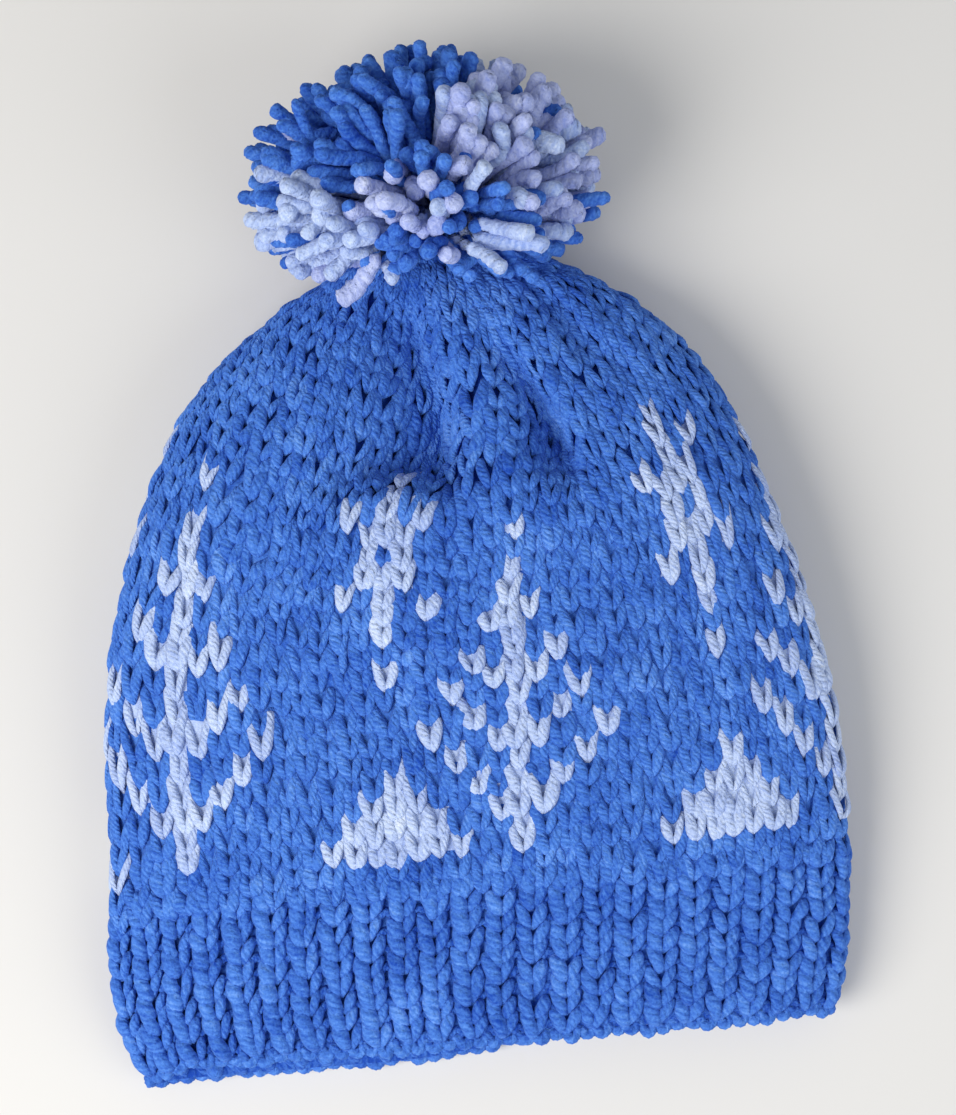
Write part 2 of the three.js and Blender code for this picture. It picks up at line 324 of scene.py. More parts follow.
# How far stitches lie from an even spread, in wales and in rows, at some wales and rows. At the
# last of the rows they lie evenly.
SHIFT_WALES = [-21, -19, -16, -12, -6, -4, 0, 5, 8, 10, 12, 14, 17, 38]
SHIFT_ROWS = [0, 4, 8, 12, 15, 18, 24, 31]
ACROSS_SHIFT = [
    [-1.0, -0.9, -0.35, -0.2, -0.25, -0.26, -0.3, -0.25, -0.25, -0.3, -0.5, -0.6, -0.7, -0.8],
    [-0.6, -0.45, -0.3, -0.2, -0.2, -0.24, -0.35, -0.1, -0.2, -0.25, -0.5, -0.78, -0.8, -0.8],
    [-0.9, -0.8, -0.25, -0.25, -0.25, -0.2, -0.05, 0.0, -0.1, -0.2, -0.5, -0.78, -0.8, -0.8],
    [-0.3, 0.0, 0.1, -0.1, -0.1, -0.07, 0.0, 0.1, 0.1, -0.2, -0.5, -0.7, -0.8, -0.6],
    [-0.5, -0.4, -0.35, 0.9, 0.2, 0.15, 0.8, 0.4, 0.1, -0.1, -0.4, -0.5, -0.7, -0.6],
    [-0.5, -0.4, -0.3, 0.6, 0.05, 0.1, 0.6, 0.3, 0.1, -0.05, -0.4, -0.5, -0.7, -0.6],
    [-0.2, -0.2, -0.1, 0.0, 0.1, 0.1, 0.2, 0.1, 0.0, -0.1, -0.2, -0.2, -0.2, -0.2],
]
UPWARD_SHIFT = [
    [-0.6, -0.5, 0.2, 0.25, 0.25, 0.25, 0.25, 0.2, 0.2, 0.3, 0.4, 0.5, 0.4, 0.2],
    [-0.2, 0.0, 0.3, 0.25, 0.25, 0.28, 0.35, 0.2, 0.2, 0.3, 0.4, 0.35, 0.4, 0.2],
    [0.2, 0.4, 0.55, 0.4, 0.1, 0.15, 0.15, 0.0, -0.15, -0.2, 0.1, 0.25, 0.3, 0.2],
    [0.9, 0.9, 0.75, 0.3, -0.1, -1.1, 0.05, -0.3, -0.6, -0.6, -0.24, 0.1, 0.2, 0.4],
    [1.2, 1.3, 1.2, -0.1, -0.45, -1.2, -0.2, -0.5, -0.65, -0.1, 0.35, 0.4, 0.5, 0.8],
    [1.2, 1.2, 1.1, -0.1, -0.6, -1.0, -0.2, -0.4, -0.3, 0.0, 0.5, 0.5, 0.5, 0.8],
    [0.5, 0.5, 0.4, 0.1, -0.1, -0.2, -0.1, -0.1, -0.1, 0.1, 0.2, 0.2, 0.2, 0.3],
]


def shifted(around, along):
    """Where the stitches of a wale and row really lie."""
    wales = np.array([*SHIFT_WALES, SHIFT_WALES[0] + WALES], float)
    turned = (around - wales[0]) % WALES + wales[0]
    i = np.clip(np.searchsorted(wales, turned, "right") - 1, 0, len(SHIFT_WALES) - 1)
    share = ease(turned, wales[i], wales[i + 1])
    row = np.interp(along, SHIFT_ROWS, np.arange(len(SHIFT_ROWS)))
    k = np.minimum(row.astype(int), len(SHIFT_ROWS) - 2)
    out = []
    for table in (ACROSS_SHIFT, UPWARD_SHIFT):
        table = np.pad(table, [(0, 1), (0, 0)])
        after = (i + 1) % len(SHIFT_WALES)
        low, high = (lerp(table[n, i], table[n, after], share) for n in (k, k + 1))
        out.append(lerp(low, high, row - k))
    return around + out[0], along + out[1]


def knit_surface():
    """The outer face read by wale and row."""
    grid = wale_grid()
    normal = smooth_round(normals_of(grid))
    rows, table = row_table(grid)
    ys = levels[:, 0]
    places = np.empty((len(rows), grid.shape[1], 3))
    normals = np.empty_like(places)
    for k in range(grid.shape[1]):
        for axis in range(3):
            places[:, k, axis] = np.interp(table[:, k], ys, grid[:, k, axis])
            normals[:, k, axis] = np.interp(table[:, k], ys, normal[:, k, axis])
    return Surface(FIRST_ROW, ROW_STEP, places, normals, FINE, LEFT_SIDE)


RIBS = 48
RIB_FINE = 8  # grid steps to a rib


def rib_surface():
    """The same face read by rib, evenly round the brim, and by y."""
    x_up, z_up = half_section(levels, True)
    x_low, z_low = half_section(levels, False)
    x, z = np.hstack([x_up, x_low[:, ::-1]]), np.hstack([z_up, z_low[:, ::-1]])
    loop = even_steps(x, z, RIBS * RIB_FINE)[:, :-1]
    y = np.broadcast_to(levels[:, :, None], loop[:, :, :1].shape)
    grid = np.concatenate([loop[:, :, :1], y, loop[:, :, 1:]], axis=2)
    return Surface(levels[0, 0], LEVEL_STEP, grid, smooth_round(normals_of(grid)), RIB_FINE, 0.0)


# ---- Yarn tubes ----
LEG_SIDES, STRAND_SIDES = 6, 9
STITCH_PLIES, RIB_PLIES, STRAND_PLIES = 5, 4, 3  # spread yarn shows more ridges
RIDGE_SHAPE = 0.6  # below 1, ridges are rounder than the grooves between them
TURN = 7.2  # millimetres of yarn to one turn of its plies
# Painted shade: the grooves between plies are drawn darker in the tint.
GROOVE_PAINTED_SHADE = 0.08  # how much darker a groove between plies is
# Painted shade: yarn that lies deep between its neighbours is drawn darker, from SHADE_LEVEL down over
# SHADE_DEPTH.
BURIED_PAINTED_SHADE = 0.15  # how much darker yarn is that lies deep between its neighbours
SHADE_LEVEL, SHADE_DEPTH = -0.5, 2.0  # it darkens from this height, and fully so much lower
MAP_LENGTH = 300.0  # each tube starts at its own place along so much yarn
FLOOR, PRESSED = 0.05, 1.0  # yarn below PRESSED is pressed flatter, and none goes below FLOOR


def grid_quads(rows, columns):
    """Row, column and corners of each face of a grid that is closed round its columns."""
    i, j = np.meshgrid(np.arange(rows - 1), np.arange(columns), indexing="ij")
    k = (j + 1) % columns
    corners = [i * columns + j, i * columns + k, (i + 1) * columns + k, (i + 1) * columns + j]
    return i, j, np.stack(corners, -1).reshape(-1, 4)


class Mesh:
    """Gathers tubes and grids, then makes one object of them."""

    def __init__(self):
        self.points, self.tints, self.quads, self.tris = [], [], [], []
        self.quad_uv, self.tri_uv, self.quad_kind, self.tri_kind = [], [], [], []
        self.count = 0

    def add_quads(self, quads, uv, kinds):
        self.quads.append(quads.reshape(-1, 4))
        self.quad_uv.append(np.stack(np.broadcast_arrays(*uv), -1).reshape(-1, 4, 2))
        self.quad_kind.append(kinds.ravel())

    def add_tubes(self, centres, normals, widths, tints, flatness=1, sides=LEG_SIDES, kinds=0,
                  plies=STITCH_PLIES, groove=0.0, blunt=0.5, depths=None):
        """Plied yarn through centres (tubes, rings, 3), flattened on the normals' surface.

        Widths are half widths. With a groove, each column of the mesh follows a ply or the groove
        between two, so the twist is in the mesh. Without one the twist is only in the map.
        """
        heights = widths * flatness
        tubes, rings = centres.shape[:2]
        along = unit(np.gradient(centres, axis=1))
        across = unit(np.cross(along, normals))
        rise = np.cross(across, along)
        length = lengths_along(np.linalg.norm(np.diff(centres, axis=1), axis=2))
        turn = rng.uniform(0, 1, (tubes, 1)) + length / TURN

        column = np.arange(sides) / sides
        ridge = np.ones(sides)
        if groove:
            ridge = np.abs(np.cos(math.pi * plies * column)) ** RIDGE_SHAPE
        swell = (1 - groove * (1 - ridge))[:, None]
        angle = 2 * math.pi * (column + (turn[..., None] if groove else 0))
        angle = np.broadcast_to(angle, (tubes, rings, sides))
        ring = (centres[:, :, None] + swell * (
            np.cos(angle)[..., None] * (widths[..., None] * across)[:, :, None]
            + np.sin(angle)[..., None] * (heights[..., None] * rise)[:, :, None]))
        cap = blunt * (widths + heights) / 2
        start = centres[:, 0] - along[:, 0] * cap[:, :1]
        end = centres[:, -1] + along[:, -1] * cap[:, -1:]
        points = [ring.reshape(tubes, -1, 3), start[:, None], end[:, None]]
        self.points.append(np.hstack(points).reshape(-1, 3))

        # Painted shade in the grooves between plies.
        shade = tints[..., None] - GROOVE_PAINTED_SHADE * (1 - ridge)
        # Painted shade on yarn that lies deep between its neighbours.
        if depths is not None:
            level = depths[..., None] + np.sin(angle) * heights[..., None]
            buried = np.clip((SHADE_LEVEL - level) / SHADE_DEPTH, 0, 1)
            shade = shade - BURIED_PAINTED_SHADE * buried
        shade = np.broadcast_to(shade, (tubes, rings, sides))
        ends = [shade[:, k].mean(1)[:, None] for k in (0, -1)]
        self.tints.append(np.hstack([shade.reshape(tubes, -1), *ends]).ravel())

        shift = np.zeros_like(turn) if groove else -turn
        length = length + rng.uniform(0, MAP_LENGTH, (tubes, 1))
        kinds = np.broadcast_to(kinds, (tubes, 1))
        self.add_tube_faces(sides, plies, shift * plies, length, kinds)
        self.count += tubes * (rings * sides + 2)

    def add_tube_faces(self, sides, plies, shift, length, kinds):
        """The faces of tubes and their ends, with the map: u in plies, v along the yarn."""
        tubes, rings = length.shape
        base = self.count + np.arange(tubes)[:, None, None] * (rings * sides + 2)
        _, j, quads = grid_quads(rings, sides)
        u0, u1 = (plies * (at / sides).ravel() for at in (j, j + 1))
        (low, v0), (high, v1) = ([np.repeat(part[:, at], sides, axis=1)
                                  for part in (shift, length)]
                                 for at in (slice(None, -1), slice(1, None)))
        self.add_quads(base + quads, [u0 + low, v0, u1 + low, v0, u1 + high, v1, u0 + high, v1],
                       np.repeat(kinds, len(quads)))

        side = np.arange(sides)
        after = (side + 1) % sides
        last = (rings - 1) * sides
        foot = np.stack([after, side, np.full(sides, rings * sides)], -1)
        head = np.stack([last + side, last + after, np.full(sides, rings * sides + 1)], -1)
        self.tris.append((base + np.concatenate([foot, head])).reshape(-1, 3))
        this, then = (plies * (side + k) / sides for k in (0, 1))
        middle = (this + then) / 2
        low, v0, high, v1 = shift[:, :1], length[:, :1], shift[:, -1:], length[:, -1:]
        ends = [np.stack(np.broadcast_arrays(*uv), -1) for uv in (
            [then + low, v0, this + low, v0, middle + low, v0 - 1],
            [this + high, v1, then + high, v1, middle + high, v1 + 1])]
        self.tri_uv.append(np.hstack(ends).reshape(-1, 3, 2))
        self.tri_kind.append(np.repeat(kinds, 2 * sides))

    def add_grid(self, places, flip=False, tint=0.0, kinds=0):
        """A grid of places (rows, columns, 3), closed round its columns."""
        rows, columns = places.shape[:2]
        i, j, quads = grid_quads(rows, columns)
        uv = [j, i, j + 1, i, j + 1, i + 1, j, i + 1]
        if flip:
            quads = quads[:, ::-1]
            uv = [j, i + 1, j + 1, i + 1, j + 1, i, j, i]
        self.add_quads(self.count + quads, uv, np.broadcast_to(kinds, i.shape))
        self.points.append(places.reshape(-1, 3))
        self.tints.append(np.broadcast_to(tint, (rows, columns)).ravel())
        self.count += rows * columns

    def add_wall(self, outer, inner, tint, inside_painted_shade, kinds=0):
        """A solid wall between two grids, shut along their first and last rows."""
        rows, columns = outer.shape[:2]
        j = np.arange(columns)
        left, right = self.count + j, self.count + (j + 1) % columns
        last, under = (rows - 1) * columns, rows * columns
        self.add_grid(outer, tint=tint, kinds=kinds)
        self.add_grid(inner, flip=True, tint=inside_painted_shade)
        uv = [j + 1, 0, j, 0, j, 1, j + 1, 1]
        for strip in ([right, left, left + under, right + under],
                      [left + last, right + last, right + last + under, left + last + under]):
            self.add_quads(np.stack(strip, -1), uv, np.zeros(columns, int))

    def build(self, name, materials):
        """The object, in metres in the row frame, pressed flat where it would meet the floor."""
        points = np.concatenate(self.points)
        low = np.minimum(points[:, 2], PRESSED)
        pressed = FLOOR + (PRESSED - FLOOR) * np.exp(low - PRESSED)
        points[:, 2] = np.where(points[:, 2] < PRESSED, pressed, points[:, 2])
        points = to_row(points)
        quads = np.concatenate(self.quads)
        tris = np.concatenate(self.tris) if self.tris else np.empty((0, 3), int)
        loops = np.concatenate([quads.ravel(), tris.ravel()])
        starts = np.concatenate([np.arange(len(quads)) * 4, len(quads) * 4 + np.arange(len(tris)) * 3])
        uv = np.concatenate([part.reshape(-1, 2) for part in self.quad_uv + self.tri_uv])
        kinds = np.concatenate(self.quad_kind + self.tri_kind)

        def fill(data, key, values, kind=np.float32):
            data.foreach_set(key, values.astype(kind).ravel())

        mesh = bpy.data.meshes.new(name)
        mesh.vertices.add(len(points))
        fill(mesh.vertices, "co", points)
        mesh.loops.add(len(loops))
        fill(mesh.loops, "vertex_index", loops, np.int32)
        mesh.polygons.add(len(starts))
        fill(mesh.polygons, "loop_start", starts, np.int32)
        fill(mesh.uv_layers.new(name="yarn").data, "uv", uv)
        # The tint attribute holds each yarn's own tone together with its painted shade.
        tint = mesh.attributes.new("tint", "FLOAT", "POINT")
        fill(tint.data, "value", np.concatenate(self.tints))
        fill(mesh.polygons, "material_index", kinds, np.int32)
        fill(mesh.polygons, "use_smooth", np.ones(len(starts)), bool)
        mesh.update(calc_edges=True)
        for material in materials:
            mesh.materials.append(material)
        thing = bpy.data.objects.new(name, mesh)
        bpy.context.scene.collection.objects.link(thing)
        return thing


# ---- Materials ----
def srgb(red, green, blue):
    def linear(value):
        value /= 255
        return value / 12.92 if value <= 0.04045 else ((value + 0.055) / 1.055) ** 2.4
    return (linear(red), linear(green), linear(blue), 1.0)


class Nodes:
    """A short way to write a material's nodes."""

    def __init__(self, name):
        self.material = bpy.data.materials.new(name)
        self.material.use_nodes = True
        self.tree = self.material.node_tree
        self.tree.nodes.clear()

    def add(self, kind, inputs=(), **settings):
        node = self.tree.nodes.new(kind)
        for key, value in settings.items():
            setattr(node, key, value)
        for key, value in dict(inputs).items():
            socket = node.inputs[key]
            if isinstance(value, bpy.types.NodeSocket):
                self.tree.links.new(value, socket)
            else:
                socket.default_value = value
        return node

    def math(self, operation, *values):
        return self.add("ShaderNodeMath", enumerate(values), operation=operation).outputs[0]


FIBRES_A_PLY = 1.6  # noise cells across a ply
FIBRE_ALONG = 0.4  # noise cells a millimetre along it
WAVER = 8.0  # radians by which the plies waver along the yarn
WAVER_SCALE = 420.0  # noise cells a metre
PATCH_SCALE = 70.0
FUZZ_SCALE = 1300.0
# The ply term paints light into the colour: a painted highlight along each ply's ridge and painted shade
# in the grooves between.
FIBRE_SHADE, PATCH_SHADE, FUZZ_SHADE, PLY_PAINTED_SHADE = 0.8, 0.6, 0.75, 0.18
MEAN_SHADE = 0.73  # taken off, so that the colour itself lies at MIDDLE_STOP
MIDDLE_STOP = 0.55
PLY_DEPTH, FIBRE_DEPTH, FUZZ_DEPTH = 0.14, 0.2, 0.45  # relief in millimetres


def yarn_material(name, colour, deep, light, halo):
    """Matt plied wool: colour, its deepest and its lightest shade, and its halo of fuzz."""
    n = Nodes(name)

    def noise(place, scale, **settings):
        return n.add("ShaderNodeTexNoise", {"Vector": place, "Scale": scale, "Detail": 2.0,
                                            **settings}).outputs[0]

    uv = n.add("ShaderNodeUVMap", uv_map="yarn").outputs[0]
    u, v, _ = n.add("ShaderNodeSeparateXYZ", {0: uv}).outputs
    place = n.add("ShaderNodeTexCoord").outputs["Object"]
    waver = noise(place, WAVER_SCALE, Detail=1.0)
    turn = n.math("MULTIPLY_ADD", u, 2 * math.pi, n.math("MULTIPLY", waver, WAVER))
    ply = n.math("MULTIPLY_ADD", n.math("COSINE", turn), 0.5, 0.5)
    fibre_at = n.add("ShaderNodeCombineXYZ", {0: n.math("MULTIPLY", u, FIBRES_A_PLY),
                                              1: n.math("MULTIPLY", v, FIBRE_ALONG)}).outputs[0]
    fibre = noise(fibre_at, 1.0, Roughness=0.5, Distortion=0.6)
    patch = noise(place, PATCH_SCALE)
    fuzz = noise(place, FUZZ_SCALE)
    shade = n.add("ShaderNodeAttribute", attribute_name="tint").outputs["Fac"]
    # The ply term adds painted highlight and shade; patch, fibre and fuzz vary the yarn's own tone.
    for part, share in ((patch, PATCH_SHADE), (fibre, FIBRE_SHADE), (fuzz, FUZZ_SHADE), (ply, PLY_PAINTED_SHADE)):
        shade = n.math("MULTIPLY_ADD", part, share, shade)
    ramp = n.add("ShaderNodeValToRGB", {0: n.math("ADD", shade, -MEAN_SHADE)})
    stops = ramp.color_ramp.elements
    stops[0].position, stops[0].color = 0.0, srgb(*deep)
    stops[1].position, stops[1].color = 1.0, srgb(*light)
    stops.new(MIDDLE_STOP).color = srgb(*colour)
    height = n.math("MULTIPLY_ADD", ply, PLY_DEPTH, n.math("MULTIPLY", fibre, FIBRE_DEPTH))
    height = n.math("MULTIPLY_ADD", fuzz, FUZZ_DEPTH, height)
    bump = n.add("ShaderNodeBump", {"Strength": 1.0, "Distance": MM, "Height": height}).outputs[0]
    shader = n.add("ShaderNodeBsdfPrincipled", {
        "Base Color": ramp.outputs[0], "Roughness": 0.9, "Normal": bump, "Sheen Weight": 0.35,
        "Sheen Roughness": 0.5, "Sheen Tint": srgb(*halo), "Specular IOR Level": 0.15})
    n.add("ShaderNodeOutputMaterial", {0: shader.outputs[0]})
    return n.material


blue_yarn = yarn_material("blue_yarn", (76, 128, 216), (24, 70, 172), (120, 168, 242), (120, 165, 250))
white_yarn = yarn_material("white_yarn", (186, 204, 240), (136, 160, 218), (220, 231, 250),
                           (225, 235, 255))
lilac_yarn = yarn_material("lilac_yarn", (184, 195, 237), (138, 154, 216), (216, 224, 250),
                           (210, 218, 252))


# ---- Stitches ----
# One repeat of the pattern, 16 wales, from the lowest row up. x is a white stitch.
CHART = """
x......xxxxxxx..
x.......xxxxx...
xx.......xxx...x
x.x.......x...x.
x..x.........x..
xx..x.......x..x
x.x...........x.
x..x.........x..
xx........x....x
x.x...........x.
x.........x.....
xx........x....x
x.......x.x.x...
x........xxx....
.........x.x....
x........xxx....
........x.x.x...
..........x.....
..........x.....
"""
CHART_ARRAY = np.array([list(row) for row in CHART.split()]) == "x"
CHART_ROWS, CHART_WALES = CHART_ARRAY.shape


def is_white(wale, row):
    wale, row = np.round(wale).astype(int), np.floor(row).astype(int)
    inside = (row >= 0) & (row < CHART_ROWS)
    return inside & CHART_ARRAY[np.clip(row, 0, CHART_ROWS - 1), wale % CHART_WALES]


# A leg of a stitch from its foot to its head: how far across in wales, how high in millimetres,
# and its width as a share.
LEG_T = [0.0, 0.12, 0.28, 0.45, 0.62, 0.8, 1.0]
LEG_ACROSS = [0.02, 0.09, 0.19, 0.28, 0.36, 0.43, 0.49]
LEG_HEIGHT = [-1.0, -0.2, 0.3, 0.3, 0.1, -0.25, -0.8]
LEG_WIDTH = [0.3, 0.74, 1.0, 1.08, 1.04, 0.94, 0.7]
LEG_ROWS = 1.66  # how far up it reaches
FAT, THIN = 1.42, 1.38  # half widths of the left and the right leg
WIDE_PITCH = 5.6  # millimetres between wales where the legs have their full width
NARROWEST, WIDEST = 0.7, 1.25  # factors on that width
PITCH_ROW = 0.8  # in rows above its foot, where a stitch's pitch is read
# At these rows: a factor on the width, and a leg's height as a share of its width. The plain
# crown's stitches stand out more.
OPEN_ROWS = [0, 12, 17, 31]
OPEN_SHARE = [1.0, 1.0, 1.0, 1.02]
FLATNESS = [0.54, 0.55, 0.62, 0.62]
WHITE_RISE = 0.45  # white stitches stand out
WHITE_SIZE, AMONG_SIZE = 0.96, 1.12  # and are larger among others

# Unevenness: the phase of a ripple, how strong it is, and how much each stitch has of its own.
ACROSS_WANDER, UP_WANDER, TINT_WANDER = (0.4, 0.09, 0.05), (3.1, 0.18, 0.1), (5.0, 0.05, 0.07)
# Standard deviations, of a stitch as a whole and of each leg.
SIZE_SPREAD, RISE_SPREAD = 0.08, 0.25
LEAN_SPREAD, REACH_SPREAD, SWELL_SPREAD, BOW_SPREAD = 0.08, 0.18, 0.09, 0.05
DEPTH_SPREAD, LEG_TINT_SPREAD, LEG_UNEVEN = 0.12, 0.04, 0.1


def ripple(around, along, phase):
    """A smooth field that wanders between about -1 and 1, without a seam round the hat."""
    turn = 2 * math.pi * around / WALES
    return (np.sin(9 * turn + 1.3 * along + phase) + np.sin(14 * turn - 0.6 * along + 2.1 * phase)
            + np.sin(5 * turn + 0.85 * along + 0.7 * phase)) / 3


def wander(around, along, phase, strength, own):
    """Unevenness that neighbours share, and each one's own."""
    return strength * ripple(around, along, phase) + draw(own, around.shape)


def uneven(tubes, rings, amount):
    """Factors by which hand-spun yarn swells and thins along each tube."""
    raw = draw(1, (tubes, rings + 2))
    return 1 + amount * (raw[:, :-2] + 2 * raw[:, 1:-1] + raw[:, 2:]) / 2.4


def grid_of(wales, rows):
    """A column of wales and one of rows, for every stitch."""
    return (part.reshape(-1, 1).astype(float) for part in np.meshgrid(wales, rows, indexing="ij"))


def stitch_legs(surface, wales, rows, rings, lift):
    """A mesh of the two legs of every stitch at wales and rows."""
    mesh = Mesh()
    wales, rows = grid_of(wales, rows)
    each = wales.shape
    t = np.linspace(0, 1, rings)
    across, height, width = (np.interp(t, LEG_T, p) for p in (LEG_ACROSS, LEG_HEIGHT, LEG_WIDTH))
    shift_w = wander(wales, rows, *ACROSS_WANDER)
    shift_r = wander(wales, rows, *UP_WANDER)
    size = rng.normal(1, SIZE_SPREAD, each)
    rise = draw(RISE_SPREAD, each)
    tint = wander(wales, rows, *TINT_WANDER)
    beside = np.minimum(rows + PITCH_ROW, GATHER_ROW)
    low, high = (surface.at(*shifted(wales + step, beside))[0] for step in (-0.5, 0.5))
    pitch = np.linalg.norm(high - low, axis=-1)
    size *= np.clip(pitch / WIDE_PITCH, NARROWEST, WIDEST) * np.interp(rows, OPEN_ROWS, OPEN_SHARE)
    white = is_white(wales, rows)
    among = white & is_white(wales - 1, rows) & is_white(wales + 1, rows)
    rise += np.where(white, WHITE_RISE, 0.0)
    size *= np.where(among, AMONG_SIZE, np.where(white, WHITE_SIZE, 1.0))
    flatness = np.interp(rows, OPEN_ROWS, FLATNESS)
    for side, fat in ((-1, FAT), (1, THIN)):
        lean = draw(LEAN_SPREAD, each)
        reach = LEG_ROWS + draw(REACH_SPREAD, each)
        swell = rng.normal(1, SWELL_SPREAD, each) * size
        bow = draw(BOW_SPREAD, each)
        w = wales + shift_w + side * (across + lean * t + bow * np.sin(math.pi * t))
        w, r = shifted(w, rows + shift_r + t * reach)
        place, normal = surface.at(w, np.minimum(r, GATHER_ROW))
        depth = height + rise + draw(DEPTH_SPREAD, each)
        half = fat * swell * width * uneven(len(wales), rings, LEG_UNEVEN)
        mesh.add_tubes(place + normal * (depth + lift)[..., None], normal, half,
                       tint + draw(LEG_TINT_SPREAD, each), flatness,
                       kinds=white.astype(int), depths=depth)
    return mesh


UNDER_LIFT = -1.1  # the underside's stitches lie above the floor
WALL_FROM = -1.5  # the wall's first row
WALL_STEP = 0.5
WALL_OUT, WALL_OUT_PLAIN, WALL_IN = -0.5, -1.5, -3.8  # spare yarn fills the pattern's gaps
PLAIN_FROM, PLAIN_TO = 15, 19  # rows from the pattern's wall to the crown's
WHITE_LIFT = 0.4  # it is higher behind white stitches
COVER = 0.3  # rows from a stitch's foot to where it covers the wall


def knit_wall(surface):
    """A mesh of the wall behind the stitches."""
    rows = np.arange(WALL_FROM, GATHER_ROW + 0.01, WALL_STEP)
    wales = LEFT_SIDE - 0.5 + np.arange(WALES)
    w, r = np.meshgrid(wales, rows)
    place, normal = surface.at(*shifted(w, r))
    behind = is_white(w[:-1] + 0.5, r[:-1] - COVER)
    plain = ease(r, PLAIN_FROM, PLAIN_TO)[..., None]
    lift = np.where(w > RIGHT_SIDE, UNDER_LIFT, 0.0)
    lift += np.where(is_white(w, r - COVER), WHITE_LIFT, 0.0)
    out = lerp(WALL_OUT, WALL_OUT_PLAIN, plain) + lift[..., None]
    mesh = Mesh()
    # Painted shade: from the pattern's rows to the plain crown the wall is drawn darker, for the shade
    # seen through the pores, and its inner face is drawn darker too.
    mesh.add_wall(place + normal * out, place + normal * WALL_IN,
                  tint=lerp(-0.05, -0.55, plain[..., 0]), inside_painted_shade=-0.25,
                  kinds=behind.astype(int))
    return mesh


knit = knit_surface()
ribs = rib_surface()
FIRST_WALE, LAST_WALE = -21, 16
FIRST_STITCHES, CROWN_ROW, TOP_ROWS = -2, 16, 31

front, back = range(FIRST_WALE, LAST_WALE + 1), range(LAST_WALE + 1, FIRST_WALE + WALES)
body, crown = range(FIRST_STITCHES, CROWN_ROW), range(CROWN_ROW, TOP_ROWS)
body_front, crown_front, body_back, crown_back = (
    stitch_legs(knit, wales, rows, rings, lift)
    for wales, rings, lift in ((front, 8, 0.0), (back, 7, UNDER_LIFT)) for rows in (body, crown))
wall = knit_wall(knit)

# ---- Ribbed brim ----
RIB_ROWS, INNER_ROWS = 9, 3
FRONT_RIBS = 25
RIB_PITCH = 4.7
EDGE_HEIGHT = 19.0  # of the upper layer at the edge
# How far the edge droops, and between which places to the left this comes in: the underside's
# edge, and the corner of the upper one.
UNDER_DROOP, CORNER_DROOP = (6.2, -40, 30), (4.6, 78, 97)


def edge_y(place):
    """The edge of the mouth: straight in front, lower at the left of the underside."""
    under = place[..., 2] < EDGE_HEIGHT * WIDEST_LEVEL
    low, high = (-droop * ease(-place[..., 0], *reach)
                 for droop, *reach in (UNDER_DROOP, CORNER_DROOP))
    return np.where(under, low, high)


def rib_place(rib, share):
    """Places and normals on the brim at rib (float) and share, 0 at the edge and 1 at its top."""
    first, _ = ribs.at(rib, share * RIB_LENGTH)
    edge = edge_y(first)
    return ribs.at(rib, edge + (RIB_LENGTH - edge) * share)


# Each leg of a rib: where its foot and head lie in ribs from its middle line, its half width and
# its length in rows, at the left and at the flatter right; then heights and widths at RIB_T.
RIB_LEGS = [
    ((-0.07, 0.01), (-0.27, -0.32), (2.15, 1.75), (1.5, 1.45),
     [-1.6, -0.5, -0.1, -0.6, -1.7], [0.65, 0.95, 1.05, 1.0, 0.7]),
    ((0.07, 0.06), (0.41, 0.46), (1.35, 1.65), (1.45, 1.4),
     [-1.6, -1.0, -0.5, -0.6, -1.5], [0.5, 0.85, 1.1, 1.0, 0.6]),
]
RIB_T = [0, 0.2, 0.5, 0.8, 1]
RIB_FLATNESS = 0.75
RIB_FROM = 0.2  # rows from the edge to the first leg's foot
RIB_INNER = -5.0  # where the stitches inside the brim lie
SOFT_FROM, SOFT_TO = -60, 40  # x between which the rib becomes flatter
SOFT_ABOVE = 12.0  # on the upper layer only
RIB_ACROSS, RIB_UP, RIB_TINT = (1.0, 0.035, 0.02), (2.0, 0.1, 0.07), (4.0, 0.05, 0.05)


def rib_legs(mesh, rib_list, rows, rings, lift=0.0, inner=False):
    """The thick and the thin leg of every stitch of the ribs."""
    rib, row = grid_of(rib_list, rows)
    each = rib.shape
    t = np.linspace(0, 1, rings)
    turn = rib * WALES / RIBS
    shift = wander(turn, row, *RIB_ACROSS)
    up = wander(turn, row, *RIB_UP)
    pitch = RIB_PITCH / RIB_LENGTH
    middle, _ = rib_place(rib + 0.5, row * pitch)
    flat = ease(middle[..., 0], SOFT_FROM, SOFT_TO) * (middle[..., 2] > SOFT_ABOVE)
    tint = wander(turn, row, *RIB_TINT)
    for *ends, heights, widths in RIB_LEGS:
        foot, head, fat, reach = (lerp(*pair, flat) for pair in ends)
        height, width = np.interp(t, RIB_T, heights), np.interp(t, RIB_T, widths)
        head = head + draw(0.04, each)
        bow = draw(0.04, each)
        across = foot + (head - foot) * t + bow * np.sin(math.pi * t)
        length = reach + draw(0.1, each)
        place, normal = rib_place(rib + 0.5 + shift + across, (row + up + RIB_FROM + t * length) * pitch)
        depth = height + draw(0.2, each)
        offset = (RIB_INNER - depth) if inner else depth + lift
        half = fat * rng.normal(1, 0.07, each) * width * uneven(len(rib), rings, 0.06)
        mesh.add_tubes(place + normal * offset[..., None], normal, half,
                       tint + draw(0.04, each), RIB_FLATNESS, plies=RIB_PLIES,
                       depths=depth)


BAR_FROM, BAR_TO = 0.34, 0.76  # in ribs from a rib's middle line
BAR_BOW = 0.3  # rows
# The bars lie deep in the hollows between ribs and are drawn darker there as painted shade.
BAR_DEPTH, BAR_HALF, BAR_PAINTED_SHADE = -2.2, 1.3, -0.15


